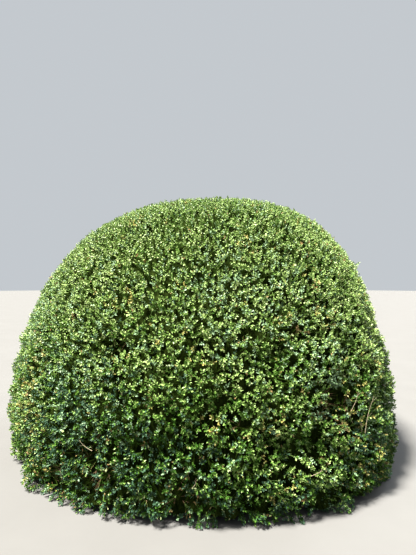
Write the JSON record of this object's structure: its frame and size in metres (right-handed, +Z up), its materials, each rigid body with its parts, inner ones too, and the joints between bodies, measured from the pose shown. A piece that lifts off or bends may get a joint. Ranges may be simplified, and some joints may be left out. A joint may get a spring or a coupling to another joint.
{
  "type": "box topiary ball",
  "caption": "Broad low ball of clipped box foliage on a short hidden stem with spreading boughs, rooted in the ground.",
  "frame": {"origin": "middle of the stem's flat cut at ground level", "axes": "+Z up, front towards -Y, +X to the right as the picture shows the plant"},
  "size_m": [3.6423, 3.6334, 2.3334],
  "materials": {
    "bark": "matt grey-brown bark with fine cracks",
    "foliage": "small glossy evergreen leaves, mid green with yellow-green tips"
  },
  "bodies": {
    "root": {"stem": "bark", "bough_side_1": "bark", "bough_side_2": "bark", "bough_side_3": "bark", "bough_side_4": "bark", "bough_side_5": "bark", "bough_side_6": "bark", "bough_top": "bark", "crown_side_1": "foliage", "crown_side_2": "foliage", "crown_side_3": "foliage", "crown_side_4": "foliage", "crown_side_5": "foliage", "crown_side_6": "foliage", "crown_top": "foliage"}
  },
  "joints": []
}
